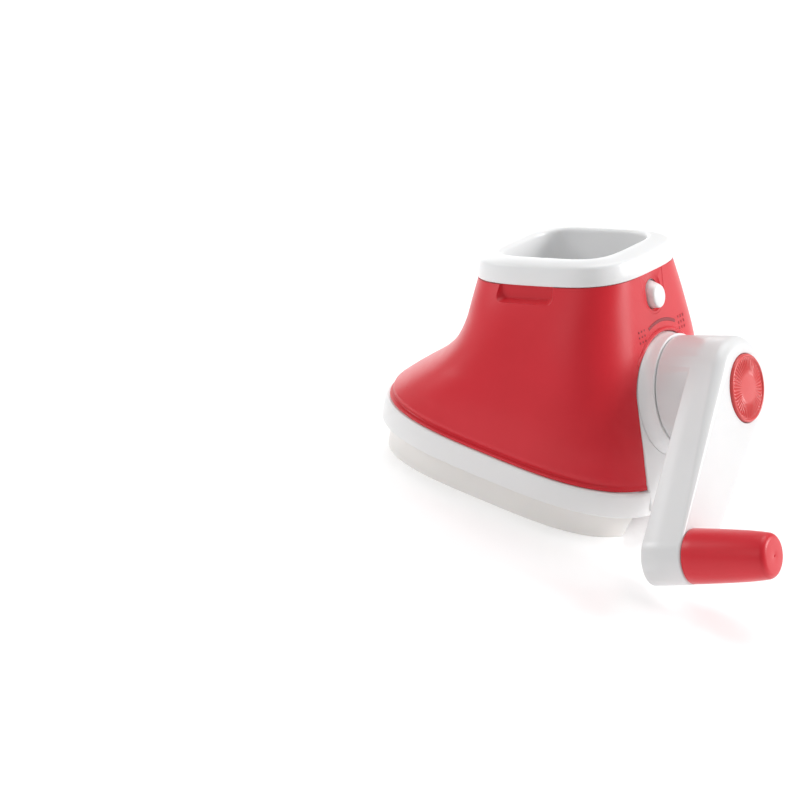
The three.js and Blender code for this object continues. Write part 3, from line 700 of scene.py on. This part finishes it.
def bearing_collar():
    profile = [(8.9, -4), (31.6, -4), (31.6, 0.1), (33.0, 0.1), (33.0, 7.7)]
    profile += fillet(32.6, 7.7, 0.4, 0, 90)
    profile += [(30.4, 8.1), (30.0, 7.7), (29.0, 2.0), (12, 2), (12, 17), (8.9, 17), (8.9, -4)]
    collar = place("collar", at(turned(profile, 128), AXIS))
    flare = place("flare", at(collar_flare(), AXIS))
    minus(flare, at(rod(31.8, -5, 12, 96), AXIS))
    combine(collar, "UNION", flare)
    finish_piece(collar, RIM_WHITE, "cartridge", ["bearing_collar"])


def drum_radius(z):
    return DRUM_R - (DRUM_FRONT - z) * DRUM_TAPER


def on_drum(turn, z):
    """A frame on the drum: X round it, Y along it, Z outwards."""
    outwards = Matrix(((0, 0, 1, 0), (1, 0, 0, 0), (0, 1, 0, 0), (0, 0, 0, 1)))
    return Matrix.Rotation(turn, 4, "Z") @ moved(drum_radius(z), 0, z) @ outwards


def tooth(hole):
    """A cutting lip at one edge of a hole, sloping back into the sheet."""
    low = [(hole - 0.3, -2.1), (hole + 2.6, -1.2), (hole + 2.6, 1.2), (hole - 0.3, 2.1)]
    high = [(hole - 0.3, -1.5), (hole + 0.1, -1.2), (hole + 0.1, 1.2), (hole - 0.3, 1.5)]
    rows = ((low, -0.6), (low, -0.1), (high, 0.95))
    return loft([[Vector((x, y, z)) for x, y in row] for row, z in rows])


def grating_drum(rows=9, around=16, hole=2.5, margin=9):
    back_r = drum_radius(DRUM_BACK)
    profile = [(back_r - SHEET, DRUM_BACK), (back_r, DRUM_BACK), (DRUM_R, DRUM_FRONT),
               (DRUM_R - SHEET, DRUM_FRONT), (back_r - SHEET, DRUM_BACK)]
    drum = place("drum", at(turned(profile, 96), AXIS))
    spots = []
    for row in range(rows):
        z = DRUM_BACK + margin + (DRUM_FRONT - DRUM_BACK - 2 * margin) * row / (rows - 1)
        spots += [on_drum(2 * math.pi * (k + row % 2 / 2) / around, z) for k in range(around)]
    plus(drum, at(gathered([at(tooth(hole), spot) for spot in spots]), AXIS))
    minus(drum, at(gathered([at(rod(hole, -4, 3, 16), spot) for spot in spots]), AXIS))
    finish_piece(drum, SHEET_STEEL, "crank", ["grating_drum"])


# ---------------------------------------------------------------- crank
def arm_top(x):
    """Height of the crank's front face along the arm: flat hub, long fall, hollow rise into the boss."""
    fall = ARM_FRONT - (ARM_FRONT - ARM_DIP) * clamp((x - 20) / 68)
    return fall + (BOSS_FRONT - fall) * ease((x - 84) / 19)


def arm_round(x):
    """Radius of the crank's front edge along the arm."""
    return EDGE_R - 6.6 * ease((x - 76) / 27)


def arm_back(x):
    return 29 - 1.5 * clamp(x / REACH)


def arm_ring(profile, count=64):
    """A ring round the arm. profile(x) gives how far it lies in from the outline, and its height."""
    ring = []
    for centre, r, start in ((REACH, END_R, -math.pi / 2), (0.0, HUB_R, math.pi / 2)):
        for i in range(count):
            turn = start + math.pi * i / (count - 1)
            unit = Vector((centre + math.cos(turn), math.sin(turn)))
            across, along = unit.x - centre, unit.y
            inset, z = profile(centre + r * across)
            reach = r - min(inset, r - 0.05)
            ring.append(Vector((centre + reach * across, reach * along, z)))
    return ring


def arm_form(edge_steps=10, face_steps=8, face_width=9):
    """Rings from the arm's back edge, up its side, round the front edge and in over the face."""
    def side_middle(x):
        return -0.3, (arm_back(x) + arm_top(x) - arm_round(x)) / 2

    def edge(x):
        r = arm_round(x)
        return r * (1 - math.cos(turn)), arm_top(x) - r * (1 - math.sin(turn))

    def face(x):
        return arm_round(x) + face_width * share, arm_top(x)

    rings = [arm_ring(lambda x: (-0.3, arm_back(x))), arm_ring(lambda x: (-0.6, arm_back(x) + 0.6))]
    rings.append(arm_ring(side_middle))
    for k in range(edge_steps + 1):
        turn = math.pi / 2 * k / edge_steps
        rings.append(arm_ring(edge))
    for k in range(1, face_steps):
        share = k / face_steps
        rings.append(arm_ring(face))
    return loft(rings)


def arm_hollow():
    """The hub's ring-shaped hollow and the slot that runs from it up the arm."""
    ring = [(12, 4.5), (27.4, 4.5), (27.4, 43), (25.4, 45), (12, 45), (12, 4.5)]
    hollow = place("hollow", at(turned(ring, 96), CRANK))
    near, near_half, far, far_half = 20, 24.0, 98, 15.2
    slot = []
    for z, inset in ((26, 0), (36, 0), (40.5, 1)):
        corners = ((near, inset - near_half), (far, inset - far_half),
                   (far, far_half - inset), (near, near_half - inset))
        slot.append([Vector((x, y, z)) for x, y in corners])
    plus(hollow, at(loft(slot), CRANK))
    return hollow


def crank_arm():
    arm = place("arm", at(arm_form(), CRANK))
    edge_z = ARM_FRONT - EDGE_R
    hub = [(0, HUB_BACK), (31.2, HUB_BACK), (31.7, HUB_BACK + 0.2), (31.9, HUB_BACK + 0.8), (HUB_R, edge_z)]
    hub += fillet(HUB_R - EDGE_R, edge_z, EDGE_R, 0, 90, 10) + [(0, ARM_FRONT)]
    plus(arm, at(turned(hub, 128), CRANK))
    combine(arm, "DIFFERENCE", arm_hollow())
    bush_room, shaft_socket = rod(13, 0, 20), rod(6.3, 0, 38.3)
    cap_seat = turned([(0, 48), (20, 48), (20, 49.5), (20.3, 50.1), (20.3, 55), (0, 55)], 96)
    head_room, screw_bore = rod(5, 41, 50, 24), rod(2.6, 30, 45, 24)
    for bore in (bush_room, shaft_socket, cap_seat, head_room, screw_bore):
        minus(arm, at(bore, CRANK))
    spindle_seat, head_room, screw_bore = rod(4.3, 36, 60, 24), rod(4.6, 0, 31.6, 24), rod(2.2, 20, 60, 24)
    for bore in (spindle_seat, head_room, screw_bore):
        minus(arm, at(bore, BOSS))
    finish_piece(arm, ARM_WHITE, "crank", ["crank_arm"])


def hub_cap(ribs=46, points_per_rib=12):
    """A coral disc with a raised rim and fine radial ribs inside it."""
    # radius, height, and how strongly the ribs show there
    rows = [(0, 48.3, 0), (19.7, 48.3, 0), (19.7, 50.6, 0), (19.5, 51.3, 0), (19.1, 51.7, 0),
            (18.6, 51.8, 0), (18.1, 51.6, 0), (17.9, 51.1, 0), (17.6, 50.9, 0), (17.3, 51.0, 0.4),
            (16.8, 51.1, 0.9), (16, 51.2, 1), (14.4, 51.3, 1), (12.6, 51.4, 0.85), (10.8, 51.5, 0.6),
            (9, 51.6, 0.3), (7.4, 51.7, 0), (0, 51.8, 0)]

    def lift(row, turn):
        return 0.75 * rows[row][2] * (abs(math.cos(ribs * turn / 2)) - 0.6)

    disc = turned([(r, h) for r, h, strength in rows], ribs * points_per_rib, lift)
    cap = place("cap", at(disc, CRANK))
    finish_piece(cap, CORAL, "crank", ["hub_cap"], 50)


def knob():
    profile = [(0, 44), (7.35, 44), (7.35, 0), (15.0, 0)] + fillet(15.1, 0.5, 0.5, -90, 0, 3)
    profile += [(15.45, 6), (15.2, 14), (14.8, 24), (14.2, 35), (13.55, 42)]
    profile += fillet(9.0, 46.0, 4.0, 8, 84, 8)
    profile += [(5, 50.0), (1.2, 50.0), (0.9, 49.9), (0.5, 49.5), (0, 49.4)]
    grip = place("knob", at(turned(profile, 128), BOSS @ moved(0, 0, BOSS_FRONT + 0.4)))
    finish_piece(grip, RED, "knob", ["knob_grip"])


# ---------------------------------------------------------------- release button
def stadium(x, rise, r, z, count=24):
    """A ring of two half circles, the upper one further up the heel."""
    ring = []
    for centre, start in ((x, -math.pi / 2), (x - rise, math.pi / 2)):
        for i in range(count + 1):
            turn = start + math.pi * i / count
            ring.append(Vector((centre + r * math.cos(turn), r * math.sin(turn), z)))
    return ring


def button_dish():
    """The dished hollow round the button, longer on the side towards the hopper."""
    rows = ((0.0, 7.6, -1.5), (0.4, 8.0, -1.4), (1.4, 8.6, -0.8),
            (2.0, 9.2, -0.2), (2.6, 10.0, 0.3), (3.0, 12.0, 3.0))
    return loft([stadium(BUTTON_X, BUTTON_RISE + rise, r, z) for rise, r, z in rows])


def release_button():
    """A round face that stands out from a sloping body, as an oblique cylinder with a soft edge."""
    low = [stadium(BUTTON_X, BUTTON_RISE, BUTTON_R, z) for z in (-5.5, -3.0)]
    face = [(2.0, 6.9, -1.2), (0.3, 6.85, 2.3), (0.0, 6.7, 2.9), (0.0, 6.35, 3.3), (0.0, 5.8, 3.5)]
    high = [stadium(BUTTON_X + 0.3, rise, r, z) for rise, r, z in face]
    button = place("button", at(loft(low + high), AXIS))
    middle = AXIS @ moved(BUTTON_X - BUTTON_RISE / 2, 0, 0)
    spring_room = rod(5.2, -7, -2.2)
    minus(button, at(spring_room, middle))
    finish_piece(button, WHITE, "button", ["release_button"])


base_skirt()
base_frame()
outer_shell()
heel_marks()
hopper()
bearing_collar()
grating_drum()
crank_arm()
hub_cap()
knob()
release_button()


# ---------------------------------------------------------------- stage
# Each light: where it is and its size in metres, and its power in watts.
LIGHTS = {
    "key_light": ((-0.2, 0.5, 1.6), (1.1, 1.1), 11),
    "left_front": ((-1.6, -0.6, 0.85), (0.6, 0.6), 8),
    "front_fill": ((-0.5, -1.8, 0.9), (1.0, 1.0), 3.4),
    "crank_light": ((1.4, 0.95, 0.95), (0.6, 0.6), 22),
    "right_wall": ((1.3, 1.5, 0.45), (1.6, 1.1), 4),
    "left_wall": ((-1.5, 1.1, 0.5), (1.6, 1.1), 8),
}


def floor(half=6.0):
    mesh = bpy.data.meshes.new("floor")
    corners = [(-half, -half, 0), (half, -half, 0), (half, half, 0), (-half, half, 0)]
    mesh.from_pydata(corners, [], [(0, 1, 2, 3)])
    obj = bpy.data.objects.new("floor", mesh)
    bpy.context.scene.collection.objects.link(obj)

    def build(nodes, links, principled):
        drift = noise(nodes, links, 3.0, 2.0)
        pale = two_colours(nodes, links, drift, (0.88, 0.88, 0.885), (0.9, 0.9, 0.9), 0.2, 0.8)
        links.new(pale, principled.inputs["Base Color"])
        principled.inputs["Roughness"].default_value = 0.16
        principled.inputs["Emission Color"].default_value = (1, 1, 1, 1)
        principled.inputs["Emission Strength"].default_value = 0.25

    dress(obj, shader("floor_surface", build))


def light(name, location, size, power, target=(0.0, 0.0, 0.07)):
    data = bpy.data.lights.new(name, "AREA")
    data.shape = "RECTANGLE"
    data.size, data.size_y = size
    data.energy = power
    obj = bpy.data.objects.new(name, data)
    obj.location = location
    obj.rotation_euler = (Vector(target) - Vector(location)).to_track_quat("-Z", "Y").to_euler()
    bpy.context.scene.collection.objects.link(obj)


floor()
for name, (location, size, power) in LIGHTS.items():
    light(name, location, size, power)

world = bpy.data.worlds.new("studio")
world.use_nodes = True
background = world.node_tree.nodes["Background"]
background.inputs["Color"].default_value = (1, 1, 1, 1)
background.inputs["Strength"].default_value = 0.4
bpy.context.scene.world = world
bpy.context.scene.view_settings.view_transform = "Standard"

# ---------------------------------------------------------------- camera
# A long lens, rolled as the photograph is; the hub's front is its mark, and the marks' offsets
# from the middle of the view are fractions of the view's width.
AZIMUTH, ELEVATION, ROLL = (math.radians(v) for v in (28.09, 23.31, 10.3))
DISTANCE, LENS, SENSOR = 2.0, 157.5, 36.0
MARK_RIGHT, MARK_UP = 0.432625, 0.015


def add_camera():
    flat = math.cos(ELEVATION)
    back = Vector((math.sin(AZIMUTH) * flat, -math.cos(AZIMUTH) * flat, math.sin(ELEVATION)))
    level = Vector((math.cos(AZIMUTH), math.sin(AZIMUTH), 0))
    upright = back.cross(level)
    right = level * math.cos(ROLL) + upright * math.sin(ROLL)
    up = upright * math.cos(ROLL) - level * math.sin(ROLL)
    mark = AXIS @ Vector((0, 0, ARM_FRONT)) * MM + SHIFT
    width = DISTANCE * SENSOR / LENS
    spot = mark + back * DISTANCE - right * (MARK_RIGHT * width) - up * (MARK_UP * width)
    data = bpy.data.cameras.new("camera")
    data.lens = LENS
    data.sensor_width = SENSOR
    data.clip_start = 0.05
    camera = bpy.data.objects.new("camera", data)
    camera.matrix_world = Matrix.Translation(spot) @ Matrix((right, up, back)).transposed().to_4x4()
    bpy.context.scene.collection.objects.link(camera)
    bpy.context.scene.camera = camera


add_camera()
